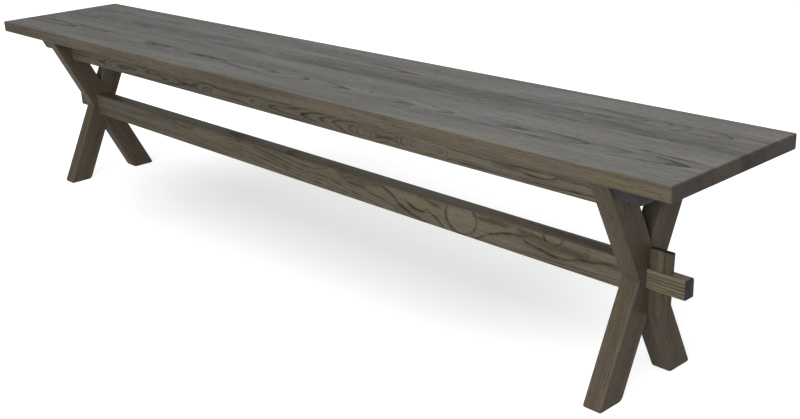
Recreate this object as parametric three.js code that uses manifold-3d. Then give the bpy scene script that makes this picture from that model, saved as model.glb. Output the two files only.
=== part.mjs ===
// A long wooden bench on two crossed-leg trestles. A stretcher runs through both
// crossings, and a loose wedge through each of its tenons draws the frame tight.
// Millimetres. +X runs along the seat, -Y is the front edge, +Z is up, and the
// floor is at zero.

import * as THREE from 'three';
import { mergeVertices } from 'three/addons/utils/BufferGeometryUtils.js';
import Module from 'manifold-3d';

const wasm = await Module();
wasm.setup();

// Seat: two boards glued edge to edge
const seatLength = 2200;
const seatDepth = 350;
const seatHeight = 450;
const seatThickness = 28;
const seatEase = 3;
const backBoardWidth = 170;

// Trestles: two legs each, halved into one another where they cross
const seatOverhang = 150;
const legWidth = 57;
const legThickness = 38;
const legEase = 2.5;
const footSpread = 203;
const footRound = 5;
const crossingHeight = 209;

// Stretcher, with a tenon at each end
const stretcherHeight = 56;
const stretcherThickness = 40;
const stretcherEase = 3;
const tenonHeight = 36;
const tenonThickness = 24;
const tenonReach = 80;
const tenonEase = 3;
const tenonEndRound = 7;

// Wedges
const wedgeLength = 125;
const wedgeTopWidth = 43.5;
const wedgeFootWidth = 38;
const wedgeThickness = 10;
const wedgeStandUp = 37;
const wedgeEase = 1;
const wedgeSlotInset = 6;

// Rails under the seat, and the cleats on the outer faces of the leg tops
const railHeight = 74;
const railThickness = 30;
const railSetIn = 24.5;
const railEase = 2.5;
const cleatHeight = 46;
const cleatWidth = 50;
const cleatSetBack = 6.5;
const cleatEase = 2;

// Dowels between the leg tops and the rails and cleats
const dowelDiameter = 10;
const dowelLength = 50;
const dowelChamfer = 1.5;
const dowelInLeg = 20;
const dowelPitch = 18;
const railDowelRise = 12;
const cleatDowelRise = 13;
const dowelEndRoom = 1;

// Screws that hold the seat down on the rails and cleats
const screwDiameter = 5;
const screwTipLength = 6;
const screwBite = 16;
const screwHeadDiameter = 12;
const screwHeadHeight = 3.6;
const screwHeadRim = 1.2;
const screwCrownShare = 0.5;
const screwSocketAcross = 4;
const screwSocketDepth = 2;
const screwSocketSides = 6;
const screwPilotRoom = 1;
const counterboreDiameter = 15;
const cleatCounterbore = 12;
const cleatScrewShare = 0.52;
const railScrewCount = 5;
const railScrewEndMargin = 150;

// Clearances
const lapClearance = 0.3;
const tenonClearance = 0.3;
const wedgeClearance = 0.3;
const dowelClearance = 0.2;
const screwClearance = 0.3;
const overrun = 20;

// Facets
const easeSteps = 3;
const endRoundSteps = 6;
const roundSides = 12;

// Worked out from the sizes above
const seatUnderside = seatHeight - seatThickness;
const trestleFace = seatLength / 2 - seatOverhang;
const trestleInside = trestleFace - legThickness;
const legRun = footSpread / 2 / crossingHeight;
const legAngle = Math.atan(legRun);
const legHalfCut = legWidth / 2 / Math.cos(legAngle);
const tenonEnd = trestleFace + tenonReach;
const tenonTop = crossingHeight + tenonHeight / 2;
const wedgeTop = tenonTop + wedgeStandUp;
const wedgeFoot = wedgeTop - wedgeLength;
const railCentre = legOffset(seatUnderside - railHeight / 2) - railSetIn;
const screwGrip = cleatHeight - cleatCounterbore;

// Colours of the stained and oiled wood, and of the hidden fixings
const seatWood = { color: 0x716f6b, roughness: 0.62, metalness: 0 };
const frameWood = { color: 0x665e4f, roughness: 0.66, metalness: 0 };
const legWood = { color: 0x5c5447, roughness: 0.68, metalness: 0 };
const wedgeWood = { color: 0x5f5546, roughness: 0.66, metalness: 0 };
const dowelWood = { color: 0xc9a878, roughness: 0.7, metalness: 0 };
const zincSteel = { color: 0xb9bcc0, roughness: 0.35, metalness: 1 };

// Turns a closed geometry into a solid that can be joined and cut
function solid(geometry) {
  const bare = geometry.clone();
  bare.deleteAttribute('normal');
  bare.deleteAttribute('uv');
  const welded = mergeVertices(bare);
  return new wasm.Manifold(new wasm.Mesh({
    numProp: 3,
    vertProperties: new Float32Array(welded.getAttribute('position').array),
    triVerts: new Uint32Array(welded.index.array),
  }));
}

function geometryOf(body) {
  const mesh = body.getMesh();
  const geometry = new THREE.BufferGeometry();
  geometry.setAttribute('position', new THREE.BufferAttribute(mesh.vertProperties, mesh.numProp));
  geometry.setIndex(new THREE.BufferAttribute(mesh.triVerts, 1));
  return geometry;
}

function piece(name, body, look) {
  const flat = geometryOf(body).toNonIndexed();
  flat.computeVertexNormals();
  const mesh = new THREE.Mesh(flat, new THREE.MeshStandardMaterial(look));
  mesh.name = name;
  return mesh;
}

// A box between two corners, for cuts along the axes
function block(low, high) {
  const size = high.map((value, i) => value - low[i]);
  const box = new THREE.BoxGeometry(...size);
  box.translate(...low.map((value, i) => value + size[i] / 2));
  return solid(box);
}

// A closed outline whose corners are rounded, each by its own radius
function roundedOutline(corners) {
  const outline = new THREE.Shape();
  corners.forEach((corner, i) => {
    const before = corners.at(i - 1).at;
    const after = corners[(i + 1) % corners.length].at;
    const here = corner.at;
    const start = here.clone().add(before.clone().sub(here).setLength(corner.round));
    const end = here.clone().add(after.clone().sub(here).setLength(corner.round));
    if (i === 0) outline.moveTo(start.x, start.y);
    else outline.lineTo(start.x, start.y);
    if (corner.round > 0) outline.quadraticCurveTo(here.x, here.y, end.x, end.y);
  });
  outline.closePath();
  return outline;
}

function rectangle(width, height, round) {
  const corners = [[-1, -1], [1, -1], [1, 1], [-1, 1]];
  return roundedOutline(corners.map(([across, up]) => ({
    at: new THREE.Vector2(across * width / 2, up * height / 2),
    round,
  })));
}

// Extrudes an outline by a length about zero, with both ends eased
function extruded(outline, length, ease, curveSegments = easeSteps) {
  const geometry = new THREE.ExtrudeGeometry(outline, {
    depth: length - 2 * ease,
    bevelEnabled: ease > 0,
    bevelThickness: ease,
    bevelSize: ease,
    bevelOffset: -ease,
    bevelSegments: easeSteps,
    curveSegments,
  });
  return geometry.translate(0, 0, ease - length / 2);
}

// An outline in Y and Z, extruded along X
const alongX = new THREE.Matrix4().makeBasis(
  new THREE.Vector3(0, 1, 0),
  new THREE.Vector3(0, 0, 1),
  new THREE.Vector3(1, 0, 0),
);

function extrudedAlongX(outline, length, ease = 0) {
  return solid(extruded(outline, length, ease).applyMatrix4(alongX));
}

// An outline in X and Z, extruded along Y
function extrudedAlongY(outline, length, ease = 0) {
  return solid(extruded(outline, length, ease).rotateX(Math.PI / 2));
}

// A bar that lies along X. Its long edges have one round and its ends another.
function bar(length, thickness, height, longRound, endRound) {
  const body = extrudedAlongX(rectangle(thickness, height, longRound), length);
  if (endRound === 0) return body;
  const side = extruded(rectangle(length, height, endRound), thickness, 0, endRoundSteps);
  const plan = extruded(rectangle(length, thickness, endRound), height, 0, endRoundSteps);
  return body.intersect(solid(side.rotateX(Math.PI / 2))).intersect(solid(plan));
}

// A round cutter or peg that stands on zero and points up
function roundPost(diameter, length) {
  const post = new THREE.CylinderGeometry(diameter / 2, diameter / 2, length, roundSides);
  post.rotateX(Math.PI / 2);
  post.translate(0, 0, length / 2);
  return solid(post);
}

// The same, pointing along +X
function roundBore(diameter, length) {
  return roundPost(diameter, length).rotate([0, 90, 0]);
}

// Seat

// How far a leg's middle line is from the bench's at a height, above the crossing
function legOffset(height) {
  return legRun * (height - crossingHeight);
}

function cleatDowelPlaces() {
  const lowest = seatUnderside - cleatHeight + cleatDowelRise;
  return [lowest, lowest + dowelPitch].map((height) => ({ height, across: legOffset(height) }));
}

// The rails and the cleats are screwed up into the seat. A cleat's screws stand
// between the middle and its dowels.
function screwPlaces() {
  const cleatScrewOffset = cleatScrewShare * cleatDowelPlaces()[0].across;
  const run = 2 * (trestleInside - railScrewEndMargin);
  const places = [];
  for (const side of [-1, 1]) {
    for (let i = 0; i < railScrewCount; i += 1) {
      const along = -run / 2 + run * i / (railScrewCount - 1);
      places.push({ x: along, y: side * railCentre, host: 'rail' });
    }
    for (const end of [-1, 1]) {
      const along = end * (trestleFace + cleatWidth / 2);
      places.push({ x: along, y: side * cleatScrewOffset, host: 'cleat' });
    }
  }
  return places;
}

function seatBoards() {
  const whole = bar(seatLength, seatDepth, seatThickness, seatEase, seatEase)
    .translate([0, 0, seatHeight - seatThickness / 2]);
  const pilots = screwPlaces().map(({ x, y }) => (
    roundPost(screwDiameter + 2 * screwClearance, screwBite + screwPilotRoom + overrun)
      .translate([x, y, seatUnderside - overrun])));
  const drilled = whole.subtract(wasm.Manifold.union(pilots));
  const glueLine = seatDepth / 2 - backBoardWidth;
  const reach = seatLength / 2 + overrun;
  const edge = seatDepth / 2 + overrun;
  const top = seatHeight + overrun;
  const frontRoom = block([-reach, -edge, 0], [reach, glueLine, top]);
  const backRoom = block([-reach, glueLine, 0], [reach, edge, top]);
  return [
    piece('seat_board_front', drilled.intersect(frontRoom), seatWood),
    piece('seat_board_back', drilled.intersect(backRoom), seatWood),
  ];
}

// A panhead screw that stands on its head and points up, with a hexagon socket
function screwBody() {
  const head = screwHeadDiameter / 2;
  const shank = screwDiameter / 2;
  const length = screwGrip + screwBite;
  const profile = [
    [0, -screwHeadHeight],
    [head * screwCrownShare, -screwHeadHeight],
    [head, -screwHeadRim],
    [head, 0],
    [shank, 0],
    [shank, length - screwTipLength],
    [0, length],
  ];
  const turned = new THREE.LatheGeometry(profile.map(([r, z]) => new THREE.Vector2(r, z)), roundSides);
  turned.rotateX(Math.PI / 2);
  const socket = new THREE.CylinderGeometry(
    screwSocketAcross / 2,
    screwSocketAcross / 2,
    screwSocketDepth + overrun,
    screwSocketSides,
  );
  socket.rotateX(Math.PI / 2);
  socket.translate(0, 0, screwSocketDepth / 2 - overrun / 2 - screwHeadHeight);
  return solid(turned).subtract(solid(socket));
}

function screws() {
  const body = screwBody();
  const counts = { rail: 0, cleat: 0 };
  return screwPlaces().map(({ x, y, host }) => {
    counts[host] += 1;
    const screw = piece(`${host}_screw_${counts[host]}`, body, zincSteel);
    screw.position.set(x, y, seatUnderside - screwGrip);
    return screw;
  });
}

// A clearance hole with a counterbore below it, for a screw whose head sits at
// the grip below the seat
function screwHole(x, y) {
  const hole = roundPost(screwDiameter + 2 * screwClearance, screwGrip + 2 * overrun);
  const headRoom = roundPost(counterboreDiameter, seatUnderside).translate([0, 0, -seatUnderside]);
  return hole.translate([0, 0, -overrun]).add(headRoom)
    .translate([x, y, seatUnderside - screwGrip]);
}

// Rails

function railDowelHeights() {
  const lowest = seatUnderside - railHeight + railDowelRise;
  return [lowest, lowest + dowelPitch];
}

function rail(name, side) {
  const centre = side * railCentre;
  let body = bar(2 * trestleInside, railThickness, railHeight, railEase, 0)
    .translate([0, centre, seatUnderside - railHeight / 2]);
  for (const place of screwPlaces()) {
    if (place.host === 'rail' && place.y === centre) {
      body = body.subtract(screwHole(place.x, place.y));
    }
  }
  const depth = dowelLength - dowelInLeg + dowelEndRoom;
  for (const height of railDowelHeights()) {
    const bore = roundBore(dowelDiameter + 2 * dowelClearance, depth + overrun);
    body = body.subtract(bore.translate([trestleInside - depth, centre, height]));
    body = body.subtract(bore.translate([-trestleInside - overrun, centre, height]));
  }
  return piece(name, body, frameWood);
}

// Stretcher

// The wedge seen from the front, with the legs' outer face at zero: upright
// against the legs, sloping outside
function wedgeOutline(inner, allowance, round) {
  const outer = wedgeClearance + allowance;
  const corners = [
    [inner, wedgeFoot],
    [outer + wedgeFootWidth, wedgeFoot],
    [outer + wedgeTopWidth, wedgeTop],
    [inner, wedgeTop],
  ];
  return roundedOutline(corners.map(([x, z]) => ({ at: new THREE.Vector2(x, z), round })));
}

// The slots start behind the legs' outer face, so the wedge bears on the legs
// and on the sloping end of its slot
function stretcher() {
  const tenons = bar(2 * tenonEnd, tenonThickness, tenonHeight, tenonEase, tenonEndRound);
  const beam = bar(2 * trestleInside, stretcherThickness, stretcherHeight, stretcherEase, 0);
  const slotThickness = wedgeThickness + 2 * wedgeClearance;
  const slotOutline = wedgeOutline(-wedgeSlotInset, wedgeClearance, 0);
  const slot = extrudedAlongY(slotOutline, slotThickness).translate([trestleFace, 0, 0]);
  const body = beam.add(tenons)
    .translate([0, 0, crossingHeight])
    .subtract(slot)
    .subtract(slot.rotate([0, 0, 180]));
  return piece('stretcher', body, frameWood);
}

// Trestles. Each is built with its outer face at x = 0 and its inner face at
// minus the leg thickness, then placed, and the left one is turned round.

// The slanted bar of one leg, before it is cut. Lean is 1 where the top goes
// back and -1 where it comes forward.
function leaningBar(lean, width, low, high, inner, outer, footCorner) {
  const half = width / 2 / Math.cos(legAngle);
  const corner = (height, side, round) => ({
    at: new THREE.Vector2(lean * legOffset(height) + side * half, height),
    round,
  });
  const outline = roundedOutline([
    corner(low, -1, footCorner),
    corner(low, 1, footCorner),
    corner(high, 1, 0),
    corner(high, -1, 0),
  ]);
  return extrudedAlongX(outline, outer - inner).translate([(outer + inner) / 2, 0, 0]);
}

// What a round takes off an edge, with the piece below and to the left of zero
function arrisWaste() {
  const waste = new THREE.Shape();
  waste.moveTo(overrun, overrun);
  waste.lineTo(-legEase, overrun);
  waste.lineTo(-legEase, 0);
  waste.absarc(-legEase, -legEase, legEase, Math.PI / 2, 0, true);
  waste.lineTo(overrun, -legEase);
  waste.closePath();
  return waste;
}

// The long edges of a leg are rounded up to the crossing, which stays square so
// that the two legs close flush. The crossing is a diamond: along each edge it
// reaches from one of the side corners to the top or the bottom one.
function arrisCuts(lean) {
  const edges = [
    { faceX: 0, side: 1, turn: 0 },
    { faceX: 0, side: -1, turn: -Math.PI / 2 },
    { faceX: -legThickness, side: 1, turn: Math.PI / 2 },
    { faceX: -legThickness, side: -1, turn: Math.PI },
  ];
  const toSideCorner = legWidth / 2 * Math.tan(legAngle);
  const toEndCorner = legWidth / 2 / Math.tan(legAngle);
  const reach = seatHeight;
  const waste = arrisWaste();
  const cuts = [];
  for (const { faceX, side, turn } of edges) {
    const above = side * lean > 0 ? toSideCorner : toEndCorner;
    const below = side * lean > 0 ? toEndCorner : toSideCorner;
    for (const [from, to] of [[above, reach], [-reach, -below]]) {
      const cutter = new THREE.ExtrudeGeometry(waste, {
        depth: to - from,
        bevelEnabled: false,
        curveSegments: easeSteps,
      });
      cutter.rotateZ(turn);
      cutter.translate(0, side * legWidth / 2, from);
      cutter.rotateX(-lean * legAngle);
      cutter.translate(faceX, 0, crossingHeight);
      cuts.push(solid(cutter));
    }
  }
  return wasm.Manifold.union(cuts);
}

// The leg that laps on the outer side keeps the outer half of the crossing
function leg(name, lean, outerHalf) {
  const halfWay = -legThickness / 2;
  const lapInner = outerHalf ? -legThickness - overrun : halfWay;
  const lapOuter = outerHalf ? halfWay : overrun;
  const lapWidth = legWidth + 2 * lapClearance;
  const lap = leaningBar(-lean, lapWidth, 0, seatUnderside, lapInner, lapOuter, 0);
  const mortiseHalf = [tenonThickness / 2 + tenonClearance, tenonHeight / 2 + tenonClearance];
  const mortise = block(
    [-legThickness - overrun, -mortiseHalf[0], crossingHeight - mortiseHalf[1]],
    [overrun, mortiseHalf[0], crossingHeight + mortiseHalf[1]],
  );
  let body = leaningBar(lean, legWidth, 0, seatUnderside, -legThickness, 0, footRound)
    .subtract(arrisCuts(lean))
    .subtract(lap)
    .subtract(mortise);
  const bore = roundBore(dowelDiameter + 2 * dowelClearance, dowelInLeg + dowelEndRoom + overrun);
  for (const { height, across } of cleatDowelPlaces()) {
    body = body.subtract(bore.translate([-dowelInLeg - dowelEndRoom, lean * across, height]));
  }
  for (const height of railDowelHeights()) {
    const start = -legThickness - overrun;
    body = body.subtract(bore.translate([start, lean * railCentre, height]));
  }
  return piece(name, body, legWood);
}

// The cleat's ends slope as the legs do, a little behind their outer edges. It
// is shaped too long and too high, then cut flat against the legs and the seat.
function cleat(name) {
  const top = seatUnderside + overrun;
  const halfLength = (height) => legOffset(height) + legHalfCut - cleatSetBack;
  const corner = (height, side, round) => ({
    at: new THREE.Vector2(side * halfLength(height), height),
    round,
  });
  const low = seatUnderside - cleatHeight;
  const outline = roundedOutline([
    corner(low, -1, 2 * cleatEase),
    corner(low, 1, 2 * cleatEase),
    corner(top, 1, overrun / 2),
    corner(top, -1, overrun / 2),
  ]);
  const room = block([0, -halfLength(top), 0], [cleatWidth, halfLength(top), seatUnderside]);
  let body = extrudedAlongX(outline, 2 * cleatWidth, cleatEase).intersect(room);
  const depth = dowelLength - dowelInLeg + dowelEndRoom;
  const bore = roundBore(dowelDiameter + 2 * dowelClearance, depth + overrun);
  for (const side of [-1, 1]) {
    for (const { height, across } of cleatDowelPlaces()) {
      body = body.subtract(bore.translate([-overrun, side * across, height]));
    }
  }
  for (const place of screwPlaces()) {
    if (place.host === 'cleat' && place.x > 0) {
      body = body.subtract(screwHole(place.x - trestleFace, place.y));
    }
  }
  return piece(name, body, frameWood);
}

function dowelBody() {
  const radius = dowelDiameter / 2;
  const profile = [
    [0, 0],
    [radius - dowelChamfer, 0],
    [radius, dowelChamfer],
    [radius, dowelLength - dowelChamfer],
    [radius - dowelChamfer, dowelLength],
    [0, dowelLength],
  ];
  const turned = new THREE.LatheGeometry(profile.map(([r, z]) => new THREE.Vector2(r, z)), roundSides);
  return solid(turned.rotateX(Math.PI / 2)).rotate([0, 90, 0]);
}

function dowels(end) {
  const body = dowelBody();
  const pegs = [];
  for (const side of [-1, 1]) {
    for (const { height, across } of cleatDowelPlaces()) {
      const peg = piece(`${end}_cleat_dowel_${pegs.length + 1}`, body, dowelWood);
      peg.position.set(-dowelInLeg, side * across, height);
      pegs.push(peg);
    }
  }
  const first = pegs.length;
  for (const side of [-1, 1]) {
    for (const height of railDowelHeights()) {
      const peg = piece(`${end}_rail_dowel_${pegs.length + 1 - first}`, body, dowelWood);
      peg.position.set(dowelInLeg - legThickness - dowelLength, side * railCentre, height);
      pegs.push(peg);
    }
  }
  return pegs;
}

function wedge(name) {
  const body = extrudedAlongY(wedgeOutline(0, 0, 2 * wedgeEase), wedgeThickness, wedgeEase);
  return piece(name, body, wedgeWood);
}

function trestle(end, turned) {
  const group = new THREE.Group();
  const [forward, backward] = turned ? ['front', 'back'] : ['back', 'front'];
  group.add(leg(`${end}_${forward}_leg`, -1, true));
  group.add(leg(`${end}_${backward}_leg`, 1, false));
  group.add(cleat(`${end}_cleat`));
  group.add(...dowels(end));
  group.add(wedge(`${end}_wedge`));
  if (turned) group.rotation.z = Math.PI;
  group.position.x = turned ? -trestleFace : trestleFace;
  return group;
}

const bench = new THREE.Group();
bench.name = 'bench';
bench.add(...seatBoards());
bench.add(rail('front_rail', -1), rail('back_rail', 1));
bench.add(...screws());
bench.add(stretcher());
bench.add(trestle('right', false), trestle('left', true));

export default bench;
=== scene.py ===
"""Looks of a long wooden bench on two crossed-leg trestles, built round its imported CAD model.

Metres. +X runs along the seat, -Y is the front edge, +Z is up. Grain is given in millimetres.
"""

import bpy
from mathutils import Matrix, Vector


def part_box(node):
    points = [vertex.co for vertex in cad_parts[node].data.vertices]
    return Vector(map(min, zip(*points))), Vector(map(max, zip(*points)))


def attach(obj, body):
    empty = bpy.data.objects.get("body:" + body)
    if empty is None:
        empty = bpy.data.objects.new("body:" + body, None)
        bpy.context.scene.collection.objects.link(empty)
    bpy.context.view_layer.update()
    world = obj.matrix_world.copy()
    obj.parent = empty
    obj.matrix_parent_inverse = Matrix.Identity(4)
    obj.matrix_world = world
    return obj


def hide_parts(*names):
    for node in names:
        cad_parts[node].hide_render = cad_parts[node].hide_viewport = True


bl_info = {
    "name": "Wooden bench",
    "version": (1, 0, 0),
    "blender": (4, 5, 0),
    "location": "3D View > Sidebar > Bench",
    "description": "Builds the seat, rails, cleats, legs, stretcher and wedges of a wooden bench",
    "category": "Add Mesh",
}

from functools import partial
from math import atan, cos, pi, radians, sin

import bmesh
import bpy
from bpy.props import FloatProperty, FloatVectorProperty, PointerProperty
from mathutils import Matrix, Vector

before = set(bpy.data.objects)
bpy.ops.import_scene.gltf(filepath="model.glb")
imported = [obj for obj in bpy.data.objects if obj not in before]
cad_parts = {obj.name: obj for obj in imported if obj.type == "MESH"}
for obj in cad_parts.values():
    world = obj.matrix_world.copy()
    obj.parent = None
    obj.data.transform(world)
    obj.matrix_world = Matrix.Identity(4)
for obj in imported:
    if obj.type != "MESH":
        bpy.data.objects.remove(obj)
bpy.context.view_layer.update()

MM = 0.001
# Two places closer than a hair are one
HAIR = 1e-5
SMOOTH_ANGLE = radians(32)
# The two trestles, and which way along the bench each stands
ENDS = (("right", 1), ("left", -1))
SCREW_HEAD_HEIGHT, SCREW_SHANK_RADIUS, SCREW_POINT = 0.0036, 0.0025, 0.006
# A screw head's dome: shares of its radius, and heights over its outer face
SCREW_DOME = ((0, 0), (0.5, 0), (0.82, 0.0007), (0.97, 0.0018), (1, 0.0026))
SOCKET_RADIUS, SOCKET_DEPTH, SOCKET_PAST = 0.002, 0.002, 0.003
DRILL_PAST, COUNTERBORE_DEPTH = 0.001, 0.12
# Room round a dowel and at its ends, and of a tenon's slot behind the face of the legs
DOWEL_ROOM, DOWEL_END_ROOM = 0.0002, 0.001
SLOT_BEHIND_LEG = 0.006
# How far cuts go past a leg, and half the size of shapes that reach well past what they trim
CUT_PAST, BAR_HALF, FORM_HALF = 0.02, 0.3, 0.05

# The directions in which the wood's fibres run, and the direction across each show face
ALONG_BENCH = ((1, 0, 0), (0, 1, 0))
ALONG_BENCH_FRONT = ((1, 0, 0), (0, 0, 1))
ACROSS_BENCH = ((0, 1, 0), (0, 0, 1))
UPRIGHT = ((0, 0, 1), (-1, 0, 0))

# How many growth rings the grain has drifted at places along each piece, in millimetres from
# its middle. A slow drift draws the nested arches of a flat-sawn board, and a dip draws an eye.
FRONT_SEAT_DRIFT = (
    (-1100, 0.3), (-900, 0.5), (-830, 1), (-480, 1.45), (-400, 2), (-280, 2.5), (-190, 3),
    (70, 4), (160, 5), (290, 6), (450, 7), (585, 8), (740, 9), (875, 10), (965, 11),
    (1100, 12.2),
)
BACK_SEAT_DRIFT = (
    (-1100, 0.2), (-500, 0.3), (200, 0.55), (290, 1), (340, 1.15), (600, 1.5), (685, 2),
    (780, 2.4), (875, 3), (925, 4), (965, 5), (1050, 6), (1100, 6.7),
)
RAIL_DRIFT = (
    (-912, 6.6), (-745, 5.9), (-640, 4.1), (-531, 5.5), (-482, 4.4), (-430, 5.3), (-300, 5.7),
    (-252, 4.7), (-206, 5.6), (-120, 5.9), (-62, 5.3), (-38, 4.9), (-20, 5.4), (-4, 5), (90, 4.4),
    (128, 4), (167, 3.3), (205, 2.4), (239, 1.5), (278, 0.8), (290, 0.2), (305, -0.5), (322, 0.9),
    (338, 2.4), (352, 3.2), (398, 3.3), (420, 2.2), (440, 1.2), (458, 0.1), (476, 1.5),
    (494, 3.1), (506, 3.2), (518, 2.4), (530, 2.0), (544, 2.6), (560, 3.3), (700, 3.4),
    (912, 3.5),
)
STRETCHER_DRIFT = ((-1030, 1.9), (-300, 1.5), (300, -1.2), (1030, -1.6))

# Bold growth lines and dark smudges that the show faces have. Each is its places along and
# across the face from the piece's middle in millimetres, its half width and its strength.
STRETCHER_LINES = (
    (((150, 27), (225, 22), (300, 26)), 11.0, 0.5),
    (((400, 27), (450, 20), (475, 12)), 9.0, 0.6),
    (((560, 14), (590, 22), (660, 26)), 10.0, 0.65),
    (((466, 27), (480, 20), (492, 4)), 4.0, 0.5),
    (((552, 27), (566, 18), (574, 0)), 4.5, 0.65),
    (((660, 27), (720, 15), (800, 11), (840, 18)), 12.0, 0.65),
    (((-900, 14), (-760, 9), (-620, 11), (-450, 3)), 2.6, 0.3),
    (((-880, -4), (-700, -9), (-520, -12), (-380, -20)), 2.6, 0.3),
    (((-640, 20), (-540, 22), (-470, 17), (-410, 19)), 6.0, 0.45),
    (((-560, 6), (-420, 1), (-300, -3), (-180, 2)), 2.2, 0.35),
    (((-330, 21), (-230, 26), (-120, 23), (-60, 15)), 2.0, 0.5),
    (((-82, 27), (-24, 18), (16, 14), (56, 14), (88, 18), (122, 27)), 2.2, 0.75),
    (((-304, 13), (-264, 19), (-224, 22), (-164, 21), (-112, 17), (-48, 10), (-12, 6), (28, 2),
      (68, 3), (116, 3), (156, -4), (188, -10), (236, -15), (306, -26)), 2.3, 0.8),
    (((-320, 5), (-240, 11), (-164, 12), (-80, 4), (-20, -3), (40, -7), (100, -8), (150, -13),
      (200, -19), (262, -27)), 2.0, 0.65),
    (((-264, 4), (-204, 4), (-144, 0), (-80, -5), (-40, -9), (0, -13), (56, -15), (136, -19),
      (204, -27)), 2.0, 0.7),
    (((-300, -8), (-200, -10), (-100, -16), (0, -22), (64, -27)), 2.0, 0.6),
    (((-420, -14), (-300, -19), (-200, -18), (-90, -25)), 2.0, 0.45),
    (((142, 24), (168, 18), (192, 8), (228, 7), (268, -2), (304, -7), (352, -20), (374, -27)),
     2.4, 0.8),
    (((240, 27), (262, 22), (290, 21)), 3.6, 0.7),
    (((282, 28), (304, 20), (328, 10), (348, -4), (372, -14), (400, -21), (436, -27)), 4.6, 0.95),
    (((361, 28), (363, 14), (370, 6), (384, 0), (404, -4), (418, -3), (428, 2), (444, -2),
      (456, -10), (468, -18), (484, -27)), 3.6, 0.95),
    (((556, -28), (576, -18), (592, -10), (612, -2), (644, 6), (680, 10), (690, 2), (724, -4),
      (756, -9), (784, -8), (812, 0), (844, 3), (880, 8), (914, 6)), 4.0, 0.95),
    (((630, 4), (655, 9), (685, 12), (700, 6)), 4.0, 0.6),
    (((600, -26), (664, -21), (780, -18), (914, -14)), 2.0, 0.65),
    (((690, -27), (780, -24), (914, -20)), 1.8, 0.5),
    (((620, 26), (700, 23), (730, 20)), 2.6, 0.5),
    (((940, 12), (1000, 11.5), (1050, 12.2)), 1.3, 0.8),
    (((940, 6), (1000, 5.2), (1050, 5.6)), 1.5, 0.95),
    (((940, -1), (1000, -0.6), (1050, -1.4)), 1.3, 0.8),
    (((940, -6.4), (1000, -7), (1050, -6.8)), 1.5, 0.95),
    (((940, -12.6), (1000, -12), (1050, -12.8)), 1.4, 0.9),
)
RAIL_LINES = (
    (((-905, -17), (-820, -19), (-740, -20)), 4.0, 0.6),
    (((-620, -14), (-590, -17), (-570, -20)), 4.5, 0.6),
    (((-525, -14), (-480, -17), (-432, -15)), 4.5, 0.6),
    (((655, -10), (690, -13), (728, -14)), 5.0, 0.6),
    (((712, -8), (738, -17), (770, -19), (796, -16), (815, -8)), 2.4, 0.8),
    (((560, -24), (640, -26), (780, -27), (905, -29)), 1.8, 0.45),
    (((580, -31), (700, -32), (905, -34)), 1.8, 0.45),
    (((800, -9), (850, -12), (905, -11)), 2.4, 0.55),
)
FRONT_SEAT_LINES = (
    (((-1010, 16), (-980, 12), (-950, 14)), 5.0, 0.4),
    (((-900, 19), (-840, 22), (-780, 19)), 12.0, 0.35),
    (((-790, 18), (-735, 14), (-680, 15)), 10.0, 0.4),
    (((-500, 8), (-440, 4), (-370, 6)), 13.0, 0.68),
    (((-410, 4), (-340, 2), (-240, 3)), 6.0, 0.35),
    (((-300, 0), (-215, -3), (-125, -1)), 13.0, 0.6),
    (((-180, -6), (-90, -16), (20, -24)), 6.0, 0.5),
    (((-160, 4), (-80, 6), (20, 2)), 4.0, 0.5),
    (((430, -9), (455, -7), (482, -10)), 6.0, 0.7),
    (((590, -14), (700, -20), (860, -24)), 2.4, 0.5),
    (((955, 27), (1030, 24), (1100, 18)), 3.0, 0.7),
)
BACK_SEAT_LINES = (
    (((-945, 27), (-910, 24), (-875, 26)), 6.0, 0.4),
    (((-700, 20), (-660, 17), (-630, 18)), 5.0, 0.35),
    (((370, -27), (560, -30), (760, -28), (1100, -23)), 3.0, 0.55),
    (((480, -82), (720, -79), (1100, -83)), 2.6, 0.4),
)
WEDGE_LINES = (
    (((-75, -5), (0, -6.5), (75, -7)), 1.6, 0.7),
    (((-75, 8), (-20, 9), (75, 7)), 2.0, 0.45),
    (((-75, -16.5), (0, -17), (75, -18)), 1.2, 0.5),
    (((20, 19), (50, 19.6), (75, 19)), 2.0, 0.6),
)
# Eyes round small knots: the middle, the two radii, the half width and the strength
STRETCHER_EYES = ((524, 9, 41, 34, 3.4, 0.9), (754, 30, 22, 19, 4.0, 0.95))


def linear(code):
    """The linear colour of an sRGB hex value."""
    parts = (int(code[i:i + 2], 16) / 255 for i in (1, 3, 5))
    return tuple(c / 12.92 if c <= 0.04045 else ((c + 0.055) / 1.055) ** 2.4 for c in parts)


# Sizes and colours that a user may change

LENGTH = {"unit": "LENGTH", "subtype": "DISTANCE"}
COLOUR = {"size": 3, "min": 0, "max": 1, "subtype": "COLOR"}


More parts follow.
